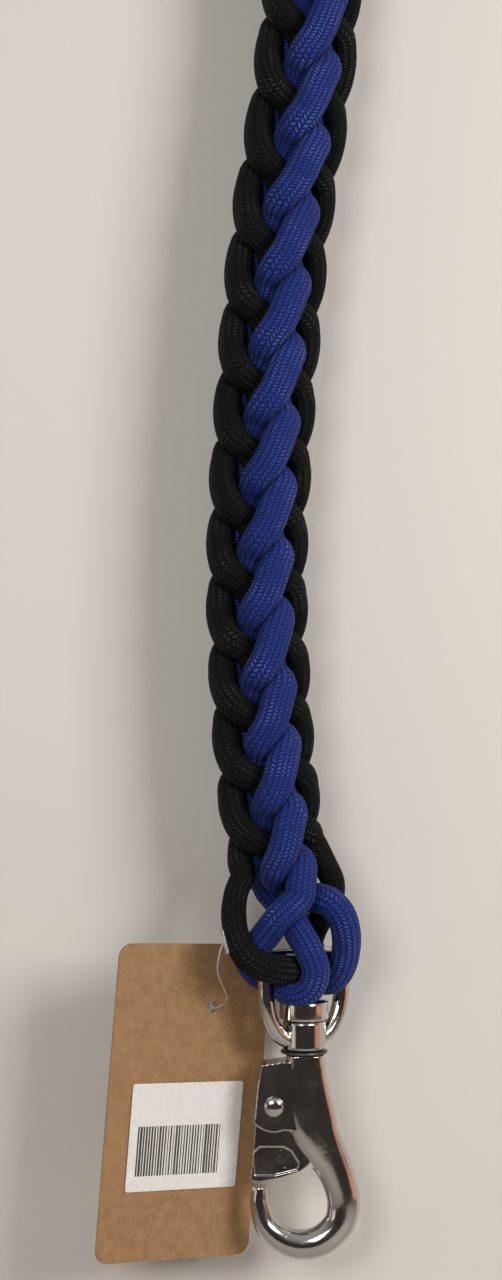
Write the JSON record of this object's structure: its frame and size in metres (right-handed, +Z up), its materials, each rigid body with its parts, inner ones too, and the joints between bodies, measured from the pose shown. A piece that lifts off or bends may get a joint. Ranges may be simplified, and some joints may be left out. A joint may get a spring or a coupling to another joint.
{
  "type": "lead rope",
  "caption": "Round-braided blue and black cord lead hanging from its hand loop, with a chrome swivel trigger snap and a card hang tag on a nylon fastener.",
  "frame": {"origin": "the point inside the top of the hand loop where a hand or peg carries the lead", "axes": "+Z up along the hanging lead, +X to the right and -Y toward the viewer in the picture"},
  "size_m": [0.1032, 0.0352, 0.5499],
  "materials": {
    "blue_cord": "woven cord cover",
    "black_cord": "woven cord cover",
    "twine": "waxed twine",
    "chrome": "plated zinc casting",
    "steel": "plain steel",
    "card": "kraft card",
    "label": "matt sticker",
    "nylon": "clear nylon"
  },
  "bodies": {
    "rope": {"blue_cord": "blue_cord", "black_cord": "black_cord", "second_blue_cord": "blue_cord", "second_black_cord": "black_cord", "loop_whipping": "twine", "swivel_eye": "chrome", "tag_fastener": "nylon"},
    "hook": {"swivel_stud": "chrome", "swivel_washer": "steel", "hook_body": "chrome", "gate_rivet": "chrome", "gate_spring": "steel"},
    "gate": {"gate": "chrome"},
    "tag": {"hang_tag": "card", "tag_label": "label"}
  },
  "joints": [
    {"name": "swivel", "type": "hinge", "parent": "rope", "child": "hook", "pos_m": [0, 0, -0.4689], "axis": [0, 0, 1], "continuous": true},
    {"name": "gate_pivot", "type": "hinge", "parent": "hook", "child": "gate", "pos_m": [-0.0086, 0, -0.4905], "axis": [0, -1, 0], "range_deg": [0, 24], "stiffness_Nm_per_rad": 0.05, "springref_deg": -22.92, "deforming": ["gate_spring"]},
    {"name": "tag_swing", "type": "hinge", "parent": "rope", "child": "tag", "pos_m": [-0.02619, 0.00146, -0.46303], "axis": [-0.5146, 0.8564, 0.0414], "range_deg": [0, 80]}
  ]
}
